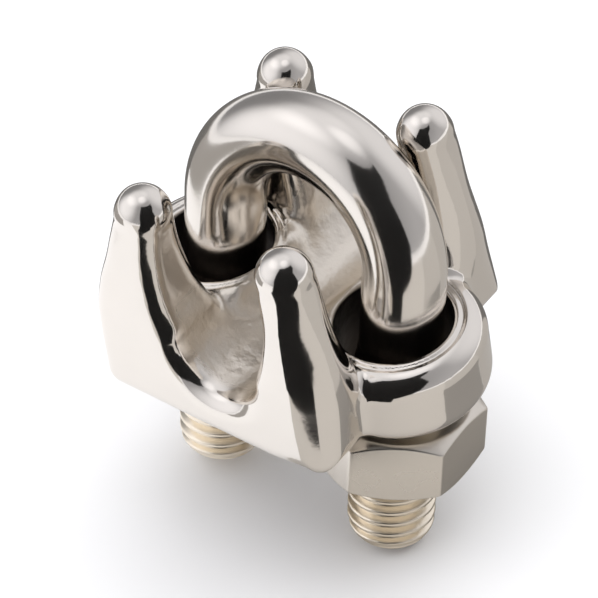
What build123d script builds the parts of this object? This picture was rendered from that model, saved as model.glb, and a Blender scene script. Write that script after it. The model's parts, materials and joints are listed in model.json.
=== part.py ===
import math
import os

from build123d import *

# A cast wire rope clip: a saddle with four horns, a U-bolt through two oversize holes in it, and two
# hexagon nuts under it. Millimetres. X runs from leg to leg, Y along the rope, +Z up, out of the saddle.
# The origin is on the axis of the rope seat, midway along it.

# Rope
ROPE_DIAMETER = 8.0
SEAT_RADIUS = 0.525 * ROPE_DIAMETER

# U-bolt: plain rod, rolled thread M8 x 1.25
ROD_DIAMETER = 7.4
THREAD_DIAMETER = 8.0
THREAD_LENGTH = 22.0
LEG_SPACING = 19.7
LEG_LENGTH = 29.2
LEG_END_RADIUS = 2.6

# Nuts
NUT_ACROSS_FLATS = 14.0
NUT_HEIGHT = 6.2
NUT_BORE_CLEARANCE = 0.05
NUT_MOUTH_DEPTH = 0.4
NUT_CHAMFER_ANGLE = 30.0
NUT_CHAMFER_CIRCLE = 0.95 * NUT_ACROSS_FLATS
NUT_TURN = {"nut_left": 10.0, "nut_right": -24.0}

# Loose assembly: the U-bolt leans back and a little sideways in its oversize holes, and its nuts too
LEAN_BACK = 11.5
LEAN_RIGHT = 2.0
LEG_OFFSET_X_AT_SOLE = -0.14
LEG_OFFSET_Y_AT_SOLE = -0.45
BOW_CENTRE_ABOVE_SOLE = 12.3
NUT_GAP_BELOW_SOLE = 1.5

# Saddle: body. The casting is a little off centre: its left wall stands further out than its right one
SOLE_THICKNESS = 4.6
BODY_HALF_DEPTH = 13.9
SIDE_WALL_X = {"left": 13.4, "right": 12.0}
SIDE_WALL_FOOT_ROUNDING = 2.0
DECK_HEIGHT = 6.4

# Saddle: leg holes and the round bosses about them
HOLE_RADIUS = 5.2
HOLE_LIP_ROUNDING = 0.4
BOSS_RADIUS = 8.2
BOSS_HEIGHT = 8.0
BOSS_TOP_ROUNDING = 1.8
BOSS_FOOT_ROUNDING = 0.6

# Saddle: horns. Each list runs up one face of a horn as (distance from the middle plane, height above sole).
# On the outer side the distance is a share of the way from the tip's edge out to the side wall
TIP_X = 7.6
TIP_Y = 10.0
TIP_HEIGHT = 20.8
TIP_RADIUS = 2.35
OUTER_SIDE = [(1.0, 8.6), (0.78, 12.5), (0.4, 16.4)]
CHANNEL_SIDE = [(5.2, 12.0), (5.6, 16.0)]
END_SIDE = [(13.5, 8.0), (13.0, 14.5)]
LEG_SIDE = [(7.2, 15.5), (6.4, 10.0)]
LEG_SIDE_FOOT = (4.6, DECK_HEIGHT)
CORNER_ROUNDING = 2.2

SOLE_Z = -(SEAT_RADIUS + SOLE_THICKNESS)
TIP_Z = SOLE_Z + TIP_HEIGHT
LEG_X = LEG_SPACING / 2
LEAN = Rot(X=-LEAN_BACK) * Rot(Y=LEAN_RIGHT)
SIDES = {"left": -1, "right": 1}


def leg_frame(side, above_sole=0.0):
    """Frame on one leg's axis, Z up the leg, at a distance along it from the saddle's sole."""
    foot = Vector(side * LEG_X + LEG_OFFSET_X_AT_SOLE, LEG_OFFSET_Y_AT_SOLE, SOLE_Z)
    return Pos(foot) * LEAN * Pos(0, 0, above_sole)


def raised(points):
    """Points given by height above the sole, as (distance, Z)."""
    return [(distance, SOLE_Z + height) for distance, height in points]


def quarter_from_front(wall_x):
    """Outline of one half of the saddle seen along the rope, filled: sole, side wall, horn, channel."""
    sole_corner = (wall_x - SIDE_WALL_FOOT_ROUNDING, SOLE_Z)
    wall_foot = (wall_x, SOLE_Z + SIDE_WALL_FOOT_ROUNDING)
    tip_edge = TIP_X + TIP_RADIUS
    outer_side = [(tip_edge + share * (wall_x - tip_edge), height) for share, height in OUTER_SIDE]
    with BuildLine() as outline:
        Line((0, -SEAT_RADIUS), (0, SOLE_Z))
        Line((0, SOLE_Z), sole_corner)
        RadiusArc(sole_corner, wall_foot, -SIDE_WALL_FOOT_ROUNDING)
        Spline(wall_foot, *raised(outer_side), (tip_edge, TIP_Z), tangents=[(0, 1), (-0.3, 1)])
        ThreePointArc((tip_edge, TIP_Z), (TIP_X, TIP_Z + TIP_RADIUS), (TIP_X - TIP_RADIUS, TIP_Z))
        Spline(
            (TIP_X - TIP_RADIUS, TIP_Z),
            *reversed(raised(CHANNEL_SIDE)),
            (SEAT_RADIUS, 0),
            tangents=[(0.2, -1), (0, -1)],
        )
        RadiusArc((SEAT_RADIUS, 0), (0, -SEAT_RADIUS), SEAT_RADIUS)
    return make_face(outline.line)


def quarter_from_side():
    """Outline of the saddle's back half seen from leg to leg, filled: sole, end, horn, deck."""
    foot = raised([LEG_SIDE_FOOT])[0]
    with BuildLine() as outline:
        Line((0, SOLE_Z + DECK_HEIGHT), (0, SOLE_Z))
        Line((0, SOLE_Z), (BODY_HALF_DEPTH, SOLE_Z))
        Spline(
            (BODY_HALF_DEPTH, SOLE_Z),
            *raised(END_SIDE),
            (TIP_Y + TIP_RADIUS, TIP_Z),
            tangents=[(0, 1), (-0.15, 1)],
        )
        ThreePointArc((TIP_Y + TIP_RADIUS, TIP_Z), (TIP_Y, TIP_Z + TIP_RADIUS), (TIP_Y - TIP_RADIUS, TIP_Z))
        Spline(
            (TIP_Y - TIP_RADIUS, TIP_Z),
            *raised(LEG_SIDE),
            foot,
            tangents=[(-0.05, -1), (-1, -0.3)],
        )
        Line(foot, (0, SOLE_Z + DECK_HEIGHT))
    return make_face(outline.line)


def quarter(wall_x):
    """Back quarter of the saddle's body: what both outlines share, with its rising edges rounded."""
    reach = 2 * BODY_HALF_DEPTH
    block = extrude(Plane.XZ * quarter_from_front(wall_x), reach, both=True)
    block &= extrude(Plane.YZ * quarter_from_side(), reach, both=True)
    block &= Pos(0, 0, TIP_Z) * Box(reach, reach, reach, align=(Align.MIN, Align.MIN, Align.MAX))
    rising = [
        edge
        for edge in block.edges()
        if edge.bounding_box().size.Z > 1 and min(edge.center().X, edge.center().Y) > 1
    ]
    return fillet(rising, CORNER_ROUNDING) + Pos(TIP_X, TIP_Y, TIP_Z) * Sphere(TIP_RADIUS)


def boss(side):
    """Round wall about one leg hole, with rounded top and bottom edges."""
    post = Pos(side * LEG_X, 0, SOLE_Z) * Cylinder(
        BOSS_RADIUS, BOSS_HEIGHT, align=(Align.CENTER, Align.CENTER, Align.MIN)
    )
    post = fillet(post.edges().group_by(Axis.Z)[-1], BOSS_TOP_ROUNDING)
    return fillet(post.edges().group_by(Axis.Z)[0], BOSS_FOOT_ROUNDING)


def leg_hole(side):
    """Cutter for one leg hole, belled out at its top."""
    bore = Pos(side * LEG_X, 0, SOLE_Z) * Cylinder(HOLE_RADIUS, 3 * BOSS_HEIGHT)
    bell = Pos(side * LEG_X, 0, SOLE_Z + BOSS_HEIGHT - HOLE_LIP_ROUNDING) * Cone(
        HOLE_RADIUS,
        HOLE_RADIUS + 2 * HOLE_LIP_ROUNDING,
        2 * HOLE_LIP_ROUNDING,
        align=(Align.CENTER, Align.CENTER, Align.MIN),
    )
    return bore + bell


def make_saddle():
    back = quarter(SIDE_WALL_X["right"]) + mirror(quarter(SIDE_WALL_X["left"]), Plane.YZ)
    body = back + mirror(back, Plane.XZ)
    for side in SIDES.values():
        body += boss(side)
    for side in SIDES.values():
        body -= leg_hole(side)
    return body - Rot(X=90) * Cylinder(SEAT_RADIUS, 4 * BODY_HALF_DEPTH)


def make_u_bolt():
    """Rod bent to a half circle, with two straight legs and a thicker, threaded end on each."""
    bow = Rot(X=90) * Torus(LEG_X, ROD_DIAMETER / 2)
    upper_half = Box(
        2 * LEG_SPACING, LEG_SPACING, LEG_SPACING, align=(Align.CENTER, Align.CENTER, Align.MIN)
    )
    rod = bow & upper_half
    down = (Align.CENTER, Align.CENTER, Align.MAX)
    for side in SIDES.values():
        shank = Pos(side * LEG_X, 0, 0) * Cylinder(ROD_DIAMETER / 2, LEG_LENGTH - THREAD_LENGTH, align=down)
        stud = Pos(side * LEG_X, 0, THREAD_LENGTH - LEG_LENGTH) * Cylinder(
            THREAD_DIAMETER / 2, THREAD_LENGTH, align=down
        )
        stud = fillet(stud.edges().group_by(Axis.Z)[0], LEG_END_RADIUS)
        rod += shank
        rod += stud
    foot = Pos(LEG_OFFSET_X_AT_SOLE, LEG_OFFSET_Y_AT_SOLE, SOLE_Z)
    return foot * LEAN * Pos(0, 0, BOW_CENTRE_ABOVE_SOLE) * rod


def make_nut(name, side):
    """Hexagon nut with both ends chamfered, one leg's axis through it."""
    hexagon = RegularPolygon(NUT_ACROSS_FLATS / 2, 6, major_radius=False, rotation=NUT_TURN[name])
    blank = extrude(hexagon, NUT_HEIGHT)
    corner_radius = NUT_ACROSS_FLATS / math.sqrt(3)
    flat_radius = NUT_CHAMFER_CIRCLE / 2
    drop = (corner_radius - flat_radius) * math.tan(math.radians(NUT_CHAMFER_ANGLE))
    profile = Polyline(
        (0, 0),
        (flat_radius, 0),
        (corner_radius, drop),
        (corner_radius, NUT_HEIGHT - drop),
        (flat_radius, NUT_HEIGHT),
        (0, NUT_HEIGHT),
        close=True,
    )
    envelope = revolve(Plane.XZ * make_face(profile), Axis.Z)
    bore_radius = THREAD_DIAMETER / 2 + NUT_BORE_CLEARANCE
    bore = Cylinder(bore_radius, 3 * NUT_HEIGHT)
    mouth = Cone(
        bore_radius + NUT_MOUTH_DEPTH,
        bore_radius,
        NUT_MOUTH_DEPTH,
        align=(Align.CENTER, Align.CENTER, Align.MIN),
    )
    other_mouth = Pos(0, 0, NUT_HEIGHT) * Rot(X=180) * mouth
    nut = (blank & envelope) - bore - mouth - other_mouth
    return leg_frame(side, -(NUT_GAP_BELOW_SOLE + NUT_HEIGHT)) * nut


os.makedirs("parts", exist_ok=True)
export_step(make_saddle(), "parts/saddle.step")
export_step(make_u_bolt(), "parts/u_bolt.step")
for side_name, side_sign in SIDES.items():
    nut_name = "nut_" + side_name
    export_step(make_nut(nut_name, side_sign), "parts/" + nut_name + ".step")
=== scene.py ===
import json
import math

import bpy
import numpy as np
from mathutils import Matrix, Vector


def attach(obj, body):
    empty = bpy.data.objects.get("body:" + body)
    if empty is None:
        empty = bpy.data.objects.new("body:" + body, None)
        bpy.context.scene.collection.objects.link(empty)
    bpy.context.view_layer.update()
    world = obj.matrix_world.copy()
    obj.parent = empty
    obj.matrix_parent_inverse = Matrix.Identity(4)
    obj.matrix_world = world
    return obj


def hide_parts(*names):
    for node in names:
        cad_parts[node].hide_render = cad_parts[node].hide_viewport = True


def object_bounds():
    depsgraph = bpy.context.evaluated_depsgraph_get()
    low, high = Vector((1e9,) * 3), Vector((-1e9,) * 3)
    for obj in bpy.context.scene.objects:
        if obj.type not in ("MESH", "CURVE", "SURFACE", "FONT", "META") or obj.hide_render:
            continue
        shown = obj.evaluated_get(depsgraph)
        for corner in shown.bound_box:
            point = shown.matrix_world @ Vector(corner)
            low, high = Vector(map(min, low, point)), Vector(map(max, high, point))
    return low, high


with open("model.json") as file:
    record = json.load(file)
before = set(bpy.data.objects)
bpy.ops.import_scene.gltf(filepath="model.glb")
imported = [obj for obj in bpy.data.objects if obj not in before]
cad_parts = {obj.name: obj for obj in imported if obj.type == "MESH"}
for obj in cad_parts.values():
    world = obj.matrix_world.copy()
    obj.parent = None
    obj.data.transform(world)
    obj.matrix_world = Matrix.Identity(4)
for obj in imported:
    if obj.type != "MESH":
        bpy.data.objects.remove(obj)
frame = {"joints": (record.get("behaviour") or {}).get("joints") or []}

# A polished stainless wire rope clip. Shapes are worked out in millimetres in the CAD's frame: X from leg to
# leg, Y along the rope, Z up, origin on the axis of the rope seat. Meshes are handed over in metres.
# An azimuth of 0 is the front (-Y) and 90 the right (+X).

cad_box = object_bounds()
MM = 0.001
TINY = 1e-6

# Saddle outlines, as in the CAD. Each list runs along one face of a horn as (distance from the middle plane,
# height above the sole). On the outer side the distance is a share of the way from the tip's edge to the wall
SEAT_RADIUS = 4.2
SOLE_Z = -8.8
BODY_HALF_DEPTH = 13.9
RIGHT_WALL_X = 12.0
LEFT_WALL_X = 13.4
WALL_FOOT_ROUNDING = 2.0
DECK_HEIGHT = 6.4
TIP = np.array([7.6, 10.0, 12.0])
TIP_RADIUS = 2.35
OUTER_SIDE = [(1.0, 8.6), (0.78, 12.5), (0.4, 16.4)]
CHANNEL_SIDE = [(5.6, 16.0), (5.2, 12.0)]
END_SIDE = [(13.5, 8.0), (13.0, 14.5)]
LEG_SIDE = [(7.2, 15.5), (6.4, 10.0), (5.5, 7.6), (4.6, 6.5)]

# Saddle edges, and the ball on each horn
SOLE_EDGE_ROUNDING = 0.9
SEAT_EDGE_ROUNDING = 0.5
KNOB_RADIUS = 2.47
KNOB_BLEND = 0.25

# The right horns are rounder on the outside: wholly so below a height, and only in part down at the sole
CORNER_ROUNDING = 2.0
RIGHT_CORNER_ROUNDING = 3.6
ROUNDER_HALF_WIDTH = 2.0
ROUNDER_TOP_Z = 4.0
ROUNDER_FOOT_HEIGHT = 8.0
ROUNDER_SHARE_AT_SOLE = 0.4

# Bosses about the leg holes, each with a fine groove round its lip
LEG_X = 9.85
HOLE_RADIUS = 5.2
HOLE_EDGE_ROUNDING = 0.4
BOSS_RADIUS = 8.12
BOSS_HEIGHT = 7.95
BOSS_ROUNDING = 2.2
BOSS_BLEND = 0.9
LIP_GROOVE_RADIUS = 6.05
LIP_GROOVE_SIZE = 0.22
LIP_GROOVE_EDGE_ROUNDING = 0.1

# The casting's skin: sine waves in random directions, with their least and greatest radians per millimetre,
# and an inset that keeps it inside the CAD's box
WAVE_SEED = 8
WAVE_COUNT = 14
WAVE_DEPTH = 0.005
WAVE_RATES = (0.5, 1.3)
SKIN_INSET = 0.02

# Grid that the saddle's polygons are made on
GRID_LOW = (-18.5, -14.3, -9.2)
GRID_HIGH = (18.5, 14.3, 14.8)
GRID_STEP = 0.25

# U-bolt
ROD_RADIUS = 3.7
LEG_LENGTH = 29.2
LEG_END_ROUNDING = 2.6
U_BOLT_FOOT = (-0.14, -0.45, SOLE_Z)
BOW_CENTRE_ABOVE_SOLE = 12.3
RING_POINTS = 96
BOW_RINGS = 120
SHANK_RINGS = 14

# Its threads. The flat root and crest are shares of half a pitch
THREAD_RADIUS = 4.0
THREAD_PITCH = 1.25
THREAD_DEPTH = 0.68
THREAD_LENGTH = 22.0
THREAD_RUN_OUT = 1.6 * THREAD_PITCH
ROOT_SHARE = 0.14
CREST_SHARE = 0.2
FLANK_CURVE = 0.35
RINGS_PER_PITCH = 18

# Nuts
NUT_HALF_FLATS = 7.0
NUT_HEIGHT = 6.2
NUT_BORE = 4.05
NUT_MOUTH_DEPTH = 0.45
NUT_MOUTH_WIDTH = 0.4
NUT_CORNER_ROUNDING = 0.35
NUT_EDGE_ROUNDING = 0.14
NUT_EDGE_CUTS = (0.0, 0.33, 0.67, 1.0)
NUT_CHAMFER_RADIUS = 6.65
NUT_CHAMFER_ANGLE = math.radians(30)
NUT_TURN = {"nut_left": 10.0, "nut_right": -24.0}
NUT_POINTS = 288

# Lean of the U-bolt and nuts in the oversize holes
LEAN_BACK = math.radians(11.5)
LEAN_RIGHT = math.radians(2.0)
LEAN = np.array(Matrix.Rotation(-LEAN_BACK, 3, "X") @ Matrix.Rotation(LEAN_RIGHT, 3, "Y"))

# Steel looks: how far the roughness spreads about its mean, how dark its duller patches are, and the depth of
# bumps in metres
ROUGHNESS_SPREAD = (0.6, 1.5)
DULL_SHARE = 0.94
DENT_DEPTH = 0.0002
MARK_DEPTH = 0.00002
MARK_STRENGTH = 0.12

# Colours
STEEL = (0.80, 0.755, 0.70)
NUT_STEEL = (0.74, 0.69, 0.62)
# The threads' straw tint is their own; their extra lightness over the rod's steel is painted light
THREAD_STEEL_WITH_PAINTED_LIGHT = (0.93, 0.84, 0.70)
CAST_SKIN = (0.76, 0.70, 0.62)
# Near-black painted shade for the walls inside the leg holes
HOLE_PAINTED_SHADE = (0.06, 0.05, 0.045)
FLOOR_PAPER = (0.92, 0.92, 0.92)
BLACK_CARD = (0.004, 0.004, 0.004)
WINDOW_LIGHT = (0.98, 0.98, 1.02)

# The dark card stands close in front of the clip, bent about it. Up it, from its lower edge:
# (height, left azimuth, right azimuth)
CARD_DISTANCE = 39
DARK_CARD = [
    (-20, -4, 41),
    (-10, -2, 44),
    (-4, 0, 60),
    (0, 4, 66),
    (10, 10, 74),
    (34, 14, 73),
    (50, 18, 88),
    (72, 20, 98),
]

# Darker sheets on the floor round the clip: (from azimuth, to azimuth, nearest, furthest, grey).
# Each lies a little above the one before. The floor close by on the front left is left clear
SHEETS = [
    (-5, 85, 1, 250, 0.54),
    (85, 128, 1, 46, 0.26),
    (85, 128, 46, 250, 0.45),
    (128, 250, 1, 250, 0.4),
    (250, 322, 75, 250, 0.3),
    (165, 268, 1, 200, 0.12),
]
SHEET_LIFT = 0.1
SHEET_TINT = (1.0, 0.96, 0.90)
CARD_STEPS = 24

# Soft windows about the room: (azimuth, elevation, half width in degrees, brightness).
# Where the brightness is negative, the wall is darker than the rest of the room
ROOM_BRIGHTNESS = 0.5
WINDOWS = [
    (-45, 28, 55, 0.66),
    (-95, 74, 45, 0.46),
    (120, 84, 19, 0.34),
    (168, 25, 55, 0.4),
    (25, 40, 75, -0.12),
    (-122, 5, 50, -0.24),
]

# Camera, with its aim and distance in the clip's millimetres
CAMERA_AIM = (0.667, -1.670, -1.689)
CAMERA_AZIMUTH = 44.28
CAMERA_ELEVATION = 44.53
CAMERA_ROLL = -9.98
CAMERA_DISTANCE = 278.4
CAMERA_LENS = 190.93
CAMERA_SENSOR_WIDTH = 36.0
CAMERA_CLIP_START = 0.01

# Floor, in metres
FLOOR_HALF_SIZE = 1.5


# ---------------------------------------------------------------- outlines


def curve_through(points, steps=24):
    """Smooth curve through the points (Catmull-Rom), as a dense list."""
    p = np.array(points, float)
    p = np.vstack([2 * p[0] - p[1], p, 2 * p[-1] - p[-2]])
    t = np.linspace(0, 1, steps, endpoint=False)[:, None]
    spans = [
        0.5
        * (
            2 * b
            + (c - a) * t
            + (2 * a - 5 * b + 4 * c - d) * t**2
            + (3 * b - a - 3 * c + d) * t**3
        )
        for a, b, c, d in zip(p, p[1:], p[2:], p[3:])
    ]
    return np.vstack(spans + [p[-2:-1]])


def arc(centre, radius, start, end, steps=48):
    """Points on an arc, from one angle in degrees to another."""
    angle = np.radians(np.linspace(start, end, steps))
    return np.array(centre) + radius * np.stack([np.cos(angle), np.sin(angle)], 1)


def up_from_sole(points):
    """Points given by height above the sole, as (distance, Z)."""
    return [(distance, SOLE_Z + height) for distance, height in points]


def both_sides(right, left):
    """Closed outline from two halves, each on the positive side and running from the sole to the top."""
    return np.vstack([right, left[::-1] * (-1, 1)])


def half_from_front(wall_x):
    """Half of the saddle seen along the rope: sole, side wall, horn and channel."""
    foot = WALL_FOOT_ROUNDING
    tip = TIP[[0, 2]]
    edge = tip[0] + TIP_RADIUS
    outer = [(edge + share * (wall_x - edge), height) for share, height in OUTER_SIDE]
    side = [(wall_x, SOLE_Z + foot), *up_from_sole(outer), (edge, tip[1])]
    channel = [tip - (TIP_RADIUS, 0), *up_from_sole(CHANNEL_SIDE), (SEAT_RADIUS, 0)]
    return np.vstack(
        [
            [(0, SOLE_Z)],
            arc((wall_x - foot, SOLE_Z + foot), foot, -90, 0),
            curve_through(side),
            arc(tip, TIP_RADIUS, 0, 180),
            curve_through(channel),
            arc((0, 0), SEAT_RADIUS, 0, -90),
        ]
    )


def half_from_side():
    """Half of the saddle seen from leg to leg: sole, end, horn and deck."""
    tip = TIP[[1, 2]]
    edge = SOLE_EDGE_ROUNDING
    end = [(BODY_HALF_DEPTH, SOLE_Z + edge), *up_from_sole(END_SIDE), tip + (TIP_RADIUS, 0)]
    flank = [tip - (TIP_RADIUS, 0), *up_from_sole(LEG_SIDE)]
    return np.vstack(
        [
            [(0, SOLE_Z)],
            arc((BODY_HALF_DEPTH - edge, SOLE_Z + edge), edge, -90, 0, steps=8),
            curve_through(end),
            arc(tip, TIP_RADIUS, 0, 180),
            curve_through(flank),
            [(0, SOLE_Z + DECK_HEIGHT)],
        ]
    )


# The saddle's outlines as closed loops, seen along the rope and from leg to leg
FRONT = both_sides(half_from_front(RIGHT_WALL_X), half_from_front(LEFT_WALL_X))
SIDE = both_sides(half_from_side(), half_from_side())


# ---------------------------------------------------------------- distance fields, negative inside


def outline_distance(outline, u, v):
    """Signed distance to a closed outline."""
    best = np.full(u.shape, np.inf)
    inside = np.zeros(u.shape, bool)
    for (au, av), (bu, bv) in zip(outline, np.roll(outline, -1, 0)):
        du, dv = bu - au, bv - av
        length_squared = du * du + dv * dv
        if length_squared < TINY**2:
            continue
        t = np.clip(((u - au) * du + (v - av) * dv) / length_squared, 0, 1)
        best = np.minimum(best, (u - au - t * du) ** 2 + (v - av - t * dv) ** 2)
        if dv != 0:
            straddles = (av > v) != (bv > v)
            inside ^= straddles & (u < au + (v - av) * du / dv)
    return np.where(inside, -1, 1) * np.sqrt(best)


def eased(value, start, end):
    """0 before start, 1 after end, with a smooth change between."""
    t = np.clip((value - start) / (end - start), 0, 1)
    return t * t * (3 - 2 * t)


def rounded_both(a, b, radius):
    """Intersection of two fields with a round edge."""
    past_edge = np.hypot(np.maximum(a + radius, 0), np.maximum(b + radius, 0))
    return np.minimum(-radius, np.maximum(a, b)) + past_edge


def blended_either(a, b, size):
    """Union of two fields with a smooth fillet."""
    h = np.clip(size - np.abs(a - b), 0, None) / size
    return np.minimum(a, b) - h * h * size / 4


def corner_rounding(x, z):
    """Radius of the rising edges between a horn's faces."""
    outside = eased(x, TIP[0] - ROUNDER_HALF_WIDTH, TIP[0] + ROUNDER_HALF_WIDTH)
    below_tip = 1 - eased(z, ROUNDER_TOP_Z, TIP[2])
    above_sole = eased(z, SOLE_Z, SOLE_Z + ROUNDER_FOOT_HEIGHT)
    share = ROUNDER_SHARE_AT_SOLE + (1 - ROUNDER_SHARE_AT_SOLE) * above_sole
    return CORNER_ROUNDING + (RIGHT_CORNER_ROUNDING - CORNER_ROUNDING) * outside * below_tip * share


def saddle_distance(x, y, z, front, side):
    """Field of the saddle. front and side are the outlines' own distances at the same points."""
    body = rounded_both(front, side, corner_rounding(x, z))
    past_tip = np.hypot(np.abs(x) - TIP[0], np.abs(y) - TIP[1])
    knob = np.hypot(past_tip, z - TIP[2]) - KNOB_RADIUS
    body = blended_either(body, knob, KNOB_BLEND)

    from_leg = np.hypot(np.abs(x) - LEG_X, y)
    above_boss = z - (SOLE_Z + BOSS_HEIGHT)
    boss = rounded_both(from_leg - BOSS_RADIUS, np.maximum(above_boss, SOLE_Z - z), BOSS_ROUNDING)
    body = blended_either(body, boss, BOSS_BLEND)

    groove = np.hypot(from_leg - LIP_GROOVE_RADIUS, above_boss) - LIP_GROOVE_SIZE
    body = rounded_both(body, -groove, LIP_GROOVE_EDGE_ROUNDING)
    body = rounded_both(body, HOLE_RADIUS - from_leg, HOLE_EDGE_ROUNDING)
    return rounded_both(body, SEAT_RADIUS - np.hypot(x, z), SEAT_EDGE_ROUNDING)


def casting_waves(x, y, z):
    """Gentle unevenness of a hand-polished casting."""
    rng = np.random.default_rng(WAVE_SEED)
    total = np.zeros(x.shape)
    for _ in range(WAVE_COUNT):
        way = rng.normal(size=3)
        way *= rng.uniform(*WAVE_RATES) / np.linalg.norm(way)
        phase = rng.uniform(0, 2 * math.pi)
        total += np.sin(way[0] * x + way[1] * y + way[2] * z + phase)
    return WAVE_DEPTH * total


def saddle_field(points):
    """Field of the saddle with its skin, at any points. The waves only go inwards."""
    x, y, z = points.T
    front = outline_distance(FRONT, x, z)
    side = outline_distance(SIDE, y, z)
    return saddle_distance(x, y, z, front, side) - np.minimum(casting_waves(x, y, z), 0) + SKIN_INSET


# ---------------------------------------------------------------- polygons from a field


def crossings(values, axis):
    """Grid edges along an axis that the surface crosses: their lower ends, the points where it crosses,
    and whether the lower end is inside."""
    lower = np.delete(values, -1, axis)
    upper = np.delete(values, 0, axis)
    ends = np.argwhere((lower < 0) != (upper < 0))
    low, high = lower[tuple(ends.T)], upper[tuple(ends.T)]
    points = ends.astype(float)
    points[:, axis] += low / (low - high)
    return ends, points, low < 0


def cells_about(ends, axis):
    """The four cells that share each grid edge, in order round it."""
    for second, third in ((0, 0), (-1, 0), (-1, -1), (0, -1)):
        cell = ends.copy()
        cell[:, (axis + 1) % 3] += second
        cell[:, (axis + 2) % 3] += third
        yield tuple(cell.T)


def crossing_mesh(values, low, step):
    """Vertices and quads of values = 0 on a grid: one vertex in each cell that the surface crosses."""
    cells = tuple(n - 1 for n in values.shape)
    total = np.zeros(cells + (3,))
    count = np.zeros(cells)
    crossed = [crossings(values, axis) for axis in range(3)]
    for axis, (ends, points, _) in enumerate(crossed):
        for cell in cells_about(ends, axis):
            np.add.at(total, cell, points)
            np.add.at(count, cell, 1)
    used = count > 0
    vertices = np.array(low) + step * total[used] / count[used][:, None]

    index = np.zeros(cells, int)
    index[used] = np.arange(used.sum())
    quads = []
    for axis, (ends, _, starts_inside) in enumerate(crossed):
        corners = np.stack([index[cell] for cell in cells_about(ends, axis)], 1)
        corners[~starts_inside] = corners[~starts_inside, ::-1]
        quads.append(corners)
    return vertices, np.vstack(quads)


def settled(points, field, nudge=0.02, least_slope_squared=0.05, furthest=0.1):
    """Points moved on to the zero of the field, by one step along its slope."""
    shifts = nudge * np.eye(3)
    slope = np.stack([field(points + shift) - field(points - shift) for shift in shifts], 1) / (2 * nudge)
    slope_squared = np.maximum((slope**2).sum(1), least_slope_squared)
    move = -slope * (field(points) / slope_squared)[:, None]
    return points + np.clip(move, -furthest, furthest)


# ---------------------------------------------------------------- pieces


def add_mesh(name, vertices_mm, faces, node, material):
    """One closed, smooth-shaded piece. It stands for a CAD node and rides on the body of the same name."""
    mesh = bpy.data.meshes.new(name)
    mesh.from_pydata((np.asarray(vertices_mm) * MM).tolist(), [], faces)
    mesh.validate()
    mesh.shade_smooth()
    mesh.materials.append(material)
    piece = bpy.data.objects.new(name, mesh)
    bpy.context.scene.collection.objects.link(piece)
    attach(piece, node)
    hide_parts(node)


def make_saddle(material):
    """Saddle, made on a grid from its plain field and then moved on to the one with its skin."""
    step = GRID_STEP
    xs, ys, zs = [np.arange(low, high, step) for low, high in zip(GRID_LOW, GRID_HIGH)]
    x, y, z = np.meshgrid(xs, ys, zs, indexing="ij")
    front = outline_distance(FRONT, *np.meshgrid(xs, zs, indexing="ij"))[:, None, :]
    side = outline_distance(SIDE, *np.meshgrid(ys, zs, indexing="ij"))[None, :, :]
    vertices, quads = crossing_mesh(saddle_distance(x, y, z, front, side), GRID_LOW, step)
    vertices = settled(vertices, saddle_field)
    add_mesh("saddle_casting", vertices, quads.tolist(), "saddle", material)


def ring_grid(rings, closed_along=False):
    """Quads between neighbouring rings of the same size."""
    count, size = rings.shape[:2]
    here = np.arange(count * size).reshape(count, size)
    following = np.roll(here, -1, 0)
    if not closed_along:
        here, following = here[:-1], following[:-1]
    quads = np.stack([here, np.roll(here, -1, 1), np.roll(following, -1, 1), following], -1)
    return quads.reshape(-1, 4)


def thread_radius(height, angle):
    """Radius of a leg. height is up from its bottom end, and angle runs about it from +X towards +Y."""
    phase = (height / THREAD_PITCH - angle / (2 * math.pi)) % 1.0
    up_flank = 1 - 2 * np.abs(phase - 0.5)
    straight = np.clip((up_flank - ROOT_SHARE) / (1 - ROOT_SHARE - CREST_SHARE), 0, 1)
    curved = eased(up_flank, ROOT_SHARE, 1 - CREST_SHARE)
    tooth = FLANK_CURVE * curved + (1 - FLANK_CURVE) * straight
    threaded = THREAD_RADIUS - THREAD_DEPTH * (1 - tooth)
    fade = np.clip((THREAD_LENGTH - height) / THREAD_RUN_OUT, 0, 1)
    below_rounding = np.clip(LEG_END_ROUNDING - height, 0, LEG_END_ROUNDING)
    end = THREAD_RADIUS - LEG_END_ROUNDING + np.sqrt(LEG_END_ROUNDING**2 - below_rounding**2)
    return np.minimum(ROD_RADIUS + (threaded - ROD_RADIUS) * fade, end)


def ring_at(centre, out, radius, phi):
    """Ring of points about the rod's centre line. out is the way from the bend's centre."""
    radius = np.broadcast_to(radius, phi.shape)[:, None]
    outwards = np.cos(phi)[:, None] * np.array(out, float)
    sideways = np.sin(phi)[:, None] * np.array([0.0, 1.0, 0.0])
    return np.array(centre) + radius * (outwards + sideways)


def leg_rings(side, heights, phi):
    """Rings along one leg. side is -1 for the left leg, whose rings start at -X, and 1 for the right."""
    angle = phi if side > 0 else math.pi - phi
    return [
        ring_at((side * LEG_X, 0, z), (side, 0, 0), thread_radius(z + LEG_LENGTH, angle), phi)
        for z in heights
    ]


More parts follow.
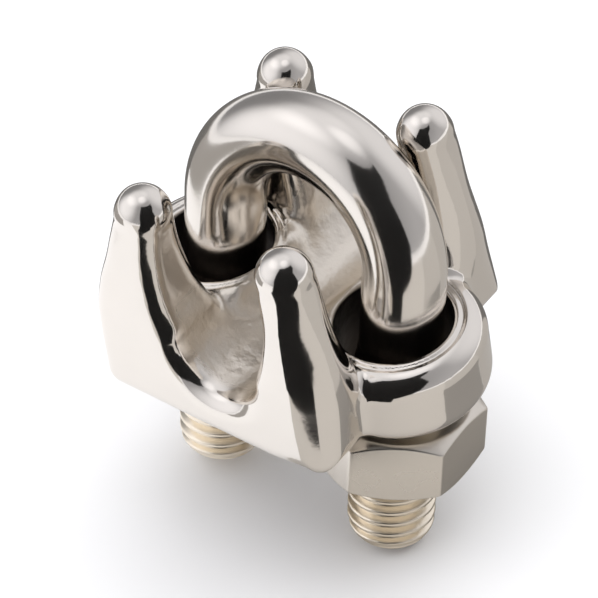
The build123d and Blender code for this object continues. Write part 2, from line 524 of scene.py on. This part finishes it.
def make_u_bolt(material):
    """U-bolt: rings up the left leg, round the bow and down the right leg, capped at both ends."""
    phi = np.linspace(0, 2 * math.pi, RING_POINTS, endpoint=False)
    thread_top = THREAD_LENGTH - LEG_LENGTH
    shank = np.linspace(0, thread_top, SHANK_RINGS)[1:]
    stud = np.arange(thread_top, -LEG_LENGTH, -THREAD_PITCH / RINGS_PER_PITCH)[1:]
    heights = np.concatenate([shank, stud, [-LEG_LENGTH]])
    turns = np.linspace(math.pi, 0, BOW_RINGS)
    ways_out = [np.array([math.cos(turn), 0, math.sin(turn)]) for turn in turns]
    bow = [ring_at(LEG_X * out, out, ROD_RADIUS, phi) for out in ways_out]
    rings = np.array(leg_rings(-1, heights[::-1], phi) + bow + leg_rings(1, heights, phi))
    vertices = rings.reshape(-1, 3)
    left_end = np.arange(RING_POINTS)
    right_end = left_end + len(vertices) - RING_POINTS
    faces = ring_grid(rings).tolist() + [left_end[::-1].tolist(), right_end.tolist()]
    bow_centre = np.array(U_BOLT_FOOT) + BOW_CENTRE_ABOVE_SOLE * LEAN[:, 2]
    add_mesh("u_bolt_rod", vertices @ LEAN.T + bow_centre, faces, "u_bolt", material)


def hex_radius(angle):
    """Distance from a nut's axis to its side, with slightly rounded corners."""
    half_side = math.pi / 6
    off_corner = (angle + half_side) % (2 * half_side) - half_side
    off_flat = half_side - np.abs(off_corner)
    flat = NUT_HALF_FLATS / np.cos(off_flat)
    corner_centre = (NUT_HALF_FLATS - NUT_CORNER_ROUNDING) / math.cos(half_side)
    sideways = corner_centre * np.sin(off_corner)
    inside = np.clip(NUT_CORNER_ROUNDING**2 - sideways**2, 0, None)
    rounded = corner_centre * np.cos(off_corner) + np.sqrt(inside)
    on_corner = np.abs(sideways) < NUT_CORNER_ROUNDING * math.sin(half_side)
    return np.where(on_corner, rounded, flat)


def towards(start, end, distance, most=0.4):
    """Points at a distance on the way from start to end, and at most that share of the way."""
    way = end - start
    length = np.maximum(np.linalg.norm(way, axis=-1, keepdims=True), TINY)
    return start + way * np.minimum(distance / length, most)


def soft_corners(profile, size):
    """Closed profile with each corner rounded. profile is (corners, angles, 2)."""
    rows = []
    for corner, before, after in zip(profile, np.roll(profile, 1, 0), np.roll(profile, -1, 0)):
        start, end = towards(corner, before, size), towards(corner, after, size)
        for t in NUT_EDGE_CUTS:
            rows.append((1 - t) ** 2 * start + 2 * t * (1 - t) * corner + t**2 * end)
    return np.array(rows)


def nut_profile(angle):
    """Corners of a nut's section at each angle, as (radius, height), from the bore's foot outwards and up."""
    side = hex_radius(angle)
    drop = (side - NUT_CHAMFER_RADIUS) * math.tan(NUT_CHAMFER_ANGLE)
    lower = [
        (NUT_BORE, NUT_MOUTH_DEPTH),
        (NUT_BORE + NUT_MOUTH_WIDTH, 0),
        (NUT_CHAMFER_RADIUS, 0),
        (side, drop),
    ]
    corners = lower + [(radius, NUT_HEIGHT - height) for radius, height in reversed(lower)]
    return np.array([np.stack(np.broadcast_arrays(*corner, angle)[:2], -1) for corner in corners])


def make_nut(node, material):
    """Nut: its section swept about its axis, centred on its joint."""
    angle = np.linspace(0, 2 * math.pi, NUT_POINTS, endpoint=False)
    profile = soft_corners(nut_profile(angle), NUT_EDGE_ROUNDING)
    radius, height = profile[..., 0], profile[..., 1] - NUT_HEIGHT / 2
    turned = angle + math.radians(NUT_TURN[node])
    points = np.stack([radius * np.cos(turned), radius * np.sin(turned), height], -1)
    quads = ring_grid(points, closed_along=True)
    joint = next(joint for joint in frame["joints"] if joint["child"] == node)
    placed = points.reshape(-1, 3) @ LEAN.T + np.array(joint["pos_m"]) / MM
    add_mesh(node + "_hexagon", placed, quads.tolist(), node, material)


# ---------------------------------------------------------------- materials


def feed(owner, socket, value):
    """Gives a socket another node's output, or a plain value."""
    if isinstance(value, bpy.types.NodeSocket):
        owner.node_tree.links.new(value, socket)
    else:
        socket.default_value = value


def maths(owner, operation, *values):
    """Output of a maths node. owner is a material or the world."""
    node = owner.node_tree.nodes.new("ShaderNodeMath")
    node.operation = operation
    for socket, value in zip(node.inputs, values):
        feed(owner, socket, value)
    return node.outputs["Value"]


def hypotenuse(owner, a, b):
    """Output of the root of a squared plus b squared."""
    squares = [maths(owner, "POWER", value, 2) for value in (a, b)]
    return maths(owner, "SQRT", maths(owner, "ADD", *squares))


def mixed(owner, data_type, mask, first, second):
    """Output of a mix node: the first value where mask is 0, the second where it is 1."""
    node = owner.node_tree.nodes.new("ShaderNodeMix")
    node.data_type = data_type
    for name, value in (("Factor", mask), ("A", first), ("B", second)):
        feed(owner, node.inputs[name], value)
    return node.outputs["Result"]


def ranged(owner, value, before, after, change="LINEAR"):
    """Output of a map range node, which takes one pair of limits to another."""
    node = owner.node_tree.nodes.new("ShaderNodeMapRange")
    node.interpolation_type = change
    for name, limit in zip(("From Min", "From Max", "To Min", "To Max"), (*before, *after)):
        node.inputs[name].default_value = limit
    feed(owner, node.inputs["Value"], value)
    return node.outputs["Result"]


def where_below(owner, value, limit_mm, softness_mm):
    """1 where the value is below a limit, 0 above it, with a soft change."""
    change = (limit_mm * MM, (limit_mm - softness_mm) * MM)
    return ranged(owner, value, change, (0, 1), "SMOOTHSTEP")


def position_of(owner):
    """X, Y and Z outputs of the point's place in the CAD frame."""
    nodes = owner.node_tree.nodes
    place = nodes.new("ShaderNodeTexCoord")
    axes = nodes.new("ShaderNodeSeparateXYZ")
    feed(owner, axes.inputs["Vector"], place.outputs["Object"])
    return axes.outputs["X"], axes.outputs["Y"], axes.outputs["Z"]


def noise(owner, scale, detail):
    """Output of a noise texture fixed to the object."""
    nodes = owner.node_tree.nodes
    place = nodes.new("ShaderNodeTexCoord")
    texture = nodes.new("ShaderNodeTexNoise")
    texture.inputs["Scale"].default_value = scale
    texture.inputs["Detail"].default_value = detail
    feed(owner, texture.inputs["Vector"], place.outputs["Object"])
    return texture.outputs["Fac"]


def bumps(owner, height, depth, strength):
    """Bump node with a height between 0 and 1 and its depth in metres."""
    node = owner.node_tree.nodes.new("ShaderNodeBump")
    node.inputs["Distance"].default_value = depth
    feed(owner, node.inputs["Height"], height)
    feed(owner, node.inputs["Strength"], strength)
    return node


def polished_steel(name, colour, roughness, dent_scale, dent_strength):
    """Stainless steel: cloudy colour and roughness, shallow dents and faint polishing marks."""
    material = bpy.data.materials.new(name)
    material.use_nodes = True
    shader = material.node_tree.nodes["Principled BSDF"]
    shader.inputs["Metallic"].default_value = 1.0
    clouds = noise(material, scale=220.0, detail=5.0)
    haze = ranged(material, clouds, (0, 1), [share * roughness for share in ROUGHNESS_SPREAD])
    feed(material, shader.inputs["Roughness"], haze)
    dull = [DULL_SHARE * channel for channel in colour]
    tint = mixed(material, "RGBA", clouds, (*dull, 1), (*colour, 1))
    feed(material, shader.inputs["Base Color"], tint)
    dents = bumps(material, noise(material, dent_scale, detail=1.5), DENT_DEPTH, dent_strength)
    marks = bumps(material, noise(material, scale=2600.0, detail=2.0), MARK_DEPTH, MARK_STRENGTH)
    feed(material, marks.inputs["Normal"], dents.outputs["Normal"])
    feed(material, shader.inputs["Normal"], marks.outputs["Normal"])
    return material


def unpolished(material, mask, colour, roughness, grain_scale, grain_strength):
    """Changes a steel where mask is 1: another colour and roughness, and a grainy skin."""
    shader = material.node_tree.nodes["Principled BSDF"]
    names = ("Roughness", "Base Color", "Normal")
    old_haze, old_tint, old_normal = [shader.inputs[name].links[0].from_socket for name in names]
    haze = mixed(material, "FLOAT", mask, old_haze, roughness)
    tint = mixed(material, "RGBA", mask, old_tint, (*colour, 1))
    strength = maths(material, "MULTIPLY", mask, grain_strength)
    grain = bumps(material, noise(material, grain_scale, detail=3.0), DENT_DEPTH, strength)
    feed(material, grain.inputs["Normal"], old_normal)
    feed(material, shader.inputs["Roughness"], haze)
    feed(material, shader.inputs["Base Color"], tint)
    feed(material, shader.inputs["Normal"], grain.outputs["Normal"])


def saddle_material():
    """Polished outside, as cast in the rope channel, with painted shade in the leg holes: a near-black colour
    for the shade round the legs.
    """
    steel = polished_steel("saddle_steel", STEEL, roughness=0.09, dent_scale=160.0, dent_strength=0.08)
    x, y, z = position_of(steel)
    near_rope = where_below(steel, hypotenuse(steel, x, z), limit_mm=6.8, softness_mm=1.5)
    off_the_ends = where_below(steel, maths(steel, "ABSOLUTE", y), limit_mm=12.2, softness_mm=1.5)
    channel = maths(steel, "MULTIPLY", near_rope, off_the_ends)
    unpolished(steel, channel, CAST_SKIN, roughness=0.3, grain_scale=900.0, grain_strength=0.5)
    off_leg_x = maths(steel, "SUBTRACT", maths(steel, "ABSOLUTE", x), LEG_X * MM)
    near_leg = where_below(steel, hypotenuse(steel, off_leg_x, y), limit_mm=5.7, softness_mm=0.5)
    # Painted shade: the hole walls below the boss's top are coloured near-black for the shade in the gap
    # round the legs
    hole_shade_mask = maths(steel, "MULTIPLY", near_leg, where_below(steel, z, limit_mm=-0.9, softness_mm=0.4))
    unpolished(steel, hole_shade_mask, HOLE_PAINTED_SHADE, roughness=0.45, grain_scale=900.0, grain_strength=0.4)
    return steel


def u_bolt_material():
    """Polished rod, satin rolled threads. The threads' straw tint is their own, and their colour is made
    lighter than the rod's as painted light.
    """
    steel = polished_steel("rod_steel", STEEL, roughness=0.12, dent_scale=120.0, dent_strength=0.08)
    _, _, z = position_of(steel)
    threads = where_below(steel, z, limit_mm=-6.5, softness_mm=1.0)
    # Straw thread colour, partly painted light: made lighter than the rod's steel
    unpolished(steel, threads, THREAD_STEEL_WITH_PAINTED_LIGHT, roughness=0.28, grain_scale=1500.0, grain_strength=0.15)
    return steel


def nut_material():
    """Duller machined steel."""
    return polished_steel("nut_steel", NUT_STEEL, roughness=0.30, dent_scale=300.0, dent_strength=0.12)


def plain(name, colour, roughness):
    """One colour all over, for the floor and the cards."""
    material = bpy.data.materials.new(name)
    material.use_nodes = True
    shader = material.node_tree.nodes["Principled BSDF"]
    shader.inputs["Base Color"].default_value = (*colour, 1)
    shader.inputs["Roughness"].default_value = roughness
    return material


# ---------------------------------------------------------------- studio


def direction(azimuth, elevation):
    """Unit vector towards an azimuth and an elevation in degrees."""
    a, e = math.radians(azimuth), math.radians(elevation)
    return Vector((math.sin(a) * math.cos(e), -math.cos(a) * math.cos(e), math.sin(e)))


def add_stage(name, vertices, faces, material):
    """Piece of the studio. vertices are in metres."""
    mesh = bpy.data.meshes.new(name)
    mesh.from_pydata([tuple(vertex) for vertex in vertices], [], faces)
    mesh.materials.append(material)
    piece = bpy.data.objects.new(name, mesh)
    bpy.context.scene.collection.objects.link(piece)
    return piece


def make_floor():
    """Pale paper under the clip, level with the lowest point of the CAD model."""
    size, z = FLOOR_HALF_SIZE, cad_box[0][2]
    corners = [(-size, -size, z), (size, -size, z), (size, size, z), (-size, size, z)]
    add_stage("floor", corners, [(0, 1, 2, 3)], plain("floor_paper", FLOOR_PAPER, roughness=0.6))


def add_card(name, rows, material):
    """Card that stands or lies round the clip, seen only in its reflections.

    rows holds (distance, height, from azimuth, to azimuth), from one edge of the card to the other."""
    vertices = [
        (direction(start + (end - start) * i / CARD_STEPS, 0) * distance + Vector((0, 0, height))) * MM
        for distance, height, start, end in rows
        for i in range(CARD_STEPS + 1)
    ]
    grid = np.arange(len(vertices)).reshape(len(rows), CARD_STEPS + 1)
    quads = np.stack([grid[:-1, :-1], grid[:-1, 1:], grid[1:, 1:], grid[1:, :-1]], -1)
    card = add_stage(name, vertices, quads.reshape(-1, 4).tolist(), material)
    card.visible_camera = False
    card.visible_shadow = False
    card.visible_diffuse = False


def make_dark_card():
    """Black card whose reflection gives the dark bands on the horns, the boss and the bow."""
    rows = [(CARD_DISTANCE, *row) for row in DARK_CARD]
    add_card("dark_card", rows, plain("black_card", BLACK_CARD, roughness=0.9))


def make_sheets():
    """Grey sheets that darken the floor where the steel mirrors it."""
    for number, (start, end, nearest, furthest, grey) in enumerate(SHEETS):
        name = "sheet_%d" % number
        height = cad_box[0][2] / MM + SHEET_LIFT * (number + 1)
        rows = [(distance, height, start, end) for distance in (nearest, furthest)]
        colour = tuple(grey * channel for channel in SHEET_TINT)
        add_card(name, rows, plain(name, colour, roughness=0.8))


def soft_light(name, azimuth, elevation, distance, size, power):
    """Round lamp aimed at the clip. It lights the floor and isn't seen in the steel."""
    lamp = bpy.data.lights.new(name, "AREA")
    lamp.shape = "DISK"
    lamp.size = size
    lamp.energy = power
    holder = bpy.data.objects.new(name, lamp)
    bpy.context.scene.collection.objects.link(holder)
    holder.visible_glossy = False
    holder.location = direction(azimuth, elevation) * distance
    holder.rotation_euler = (-holder.location).to_track_quat("-Z", "Y").to_euler()


def set_world():
    """Dim room with broad soft windows, each one a smooth bump about its direction."""
    world = bpy.data.worlds.new("studio")
    bpy.context.scene.world = world
    world.use_nodes = True
    nodes = world.node_tree.nodes
    background = nodes["Background"]
    background.inputs["Color"].default_value = (*WINDOW_LIGHT, 1)
    place = nodes.new("ShaderNodeTexCoord")
    total = ROOM_BRIGHTNESS
    for azimuth, elevation, half_width, brightness in WINDOWS:
        towards_window = nodes.new("ShaderNodeVectorMath")
        towards_window.operation = "DOT_PRODUCT"
        towards_window.inputs[1].default_value = direction(azimuth, elevation)
        feed(world, towards_window.inputs[0], place.outputs["Generated"])
        edge = math.cos(math.radians(half_width))
        closeness = towards_window.outputs["Value"]
        glow = ranged(world, closeness, (edge, 1), (0, brightness), "SMOOTHSTEP")
        total = maths(world, "ADD", glow, total)
    feed(world, background.inputs["Strength"], total)


def set_camera():
    camera = bpy.data.cameras.new("camera")
    camera.lens = CAMERA_LENS
    camera.sensor_width = CAMERA_SENSOR_WIDTH
    camera.clip_start = CAMERA_CLIP_START
    holder = bpy.data.objects.new("camera", camera)
    bpy.context.scene.collection.objects.link(holder)
    back = direction(CAMERA_AZIMUTH, CAMERA_ELEVATION)
    place = (Vector(CAMERA_AIM) + back * CAMERA_DISTANCE) * MM
    level = back.to_track_quat("Z", "Y").to_matrix().to_4x4()
    spin = Matrix.Rotation(math.radians(CAMERA_ROLL), 4, "Z")
    holder.matrix_world = Matrix.Translation(place) @ level @ spin
    bpy.context.scene.camera = holder


make_saddle(saddle_material())
make_u_bolt(u_bolt_material())
nut_steel = nut_material()
for nut_name in NUT_TURN:
    make_nut(nut_name, nut_steel)

make_floor()
make_dark_card()
make_sheets()
soft_light("key", azimuth=160, elevation=78, distance=0.9, size=1.5, power=8.5)
set_world()
set_camera()
bpy.context.scene.view_settings.view_transform = "Standard"

bpy.context.view_layer.update()
